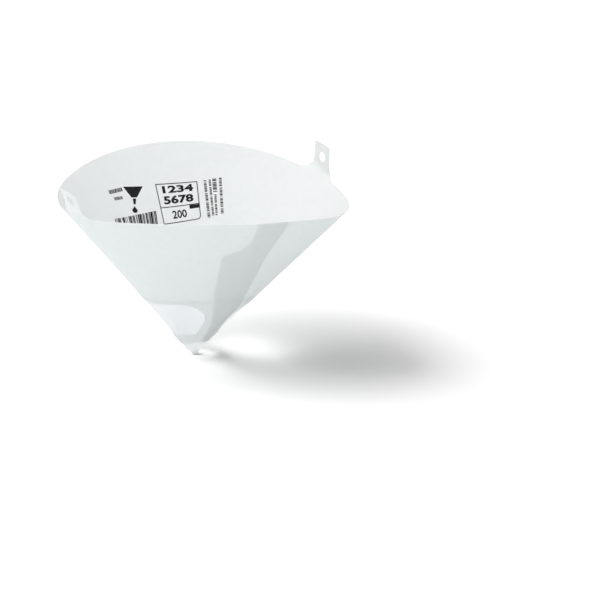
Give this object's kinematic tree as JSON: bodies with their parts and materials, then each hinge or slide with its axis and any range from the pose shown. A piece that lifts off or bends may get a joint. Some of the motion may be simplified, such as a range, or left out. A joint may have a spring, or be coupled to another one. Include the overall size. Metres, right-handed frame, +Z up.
{
  "type": "paint strainer",
  "caption": "Disposable paint strainer: one die-cut white paper sheet rolled into an oval cone, with a fine nylon mesh glued inside its point and hanging tabs punched at the rim.",
  "frame": {"origin": "the point of the cone, where the paint runs out, at its lowest", "axes": "+Z up the cone's axis, out of its mouth; X along the wide way of the oval mouth, with +X towards the upright hanging tab; the glued lap is on the -Y side"},
  "size_m": [0.2078, 0.1656, 0.1365],
  "materials": {
    "paper": "matte",
    "nylon_mesh": "satin"
  },
  "bodies": {
    "root": {"paper_cone": "paper", "filter_mesh": "nylon_mesh"}
  },
  "joints": []
}
